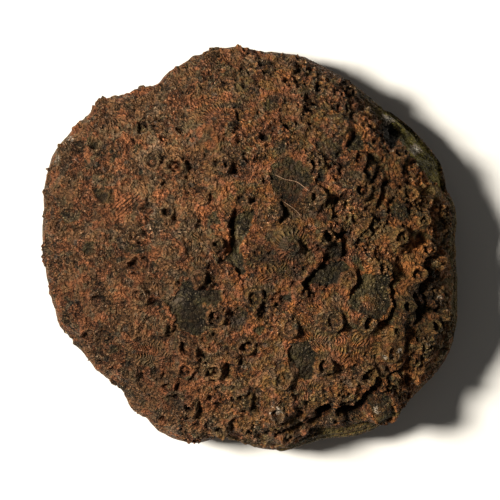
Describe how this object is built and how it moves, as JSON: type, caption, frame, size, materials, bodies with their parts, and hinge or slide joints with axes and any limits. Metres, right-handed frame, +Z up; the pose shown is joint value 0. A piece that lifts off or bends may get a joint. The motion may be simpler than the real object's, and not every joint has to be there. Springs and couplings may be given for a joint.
{
  "type": "fossil coral head",
  "caption": "Low-domed head of fossil colonial coral, its top crowded with small raised star-shaped cups, cut off flat underneath to rest on.",
  "frame": {"origin": "centre of the bounding box at the bottom, on the flat cut face", "axes": "+Z up out of the dome, +X to the right and +Y to the top of the plan view, with the older growth layer showing as a ledge at +X +Y"},
  "size_m": [0.117, 0.1136, 0.0409],
  "materials": {
    "fossil_stone": "weathered iron-stained fossil limestone, matt, granular, with dark greenish worn patches"
  },
  "bodies": {
    "root": {"coral_head": "fossil_stone"}
  },
  "joints": []
}
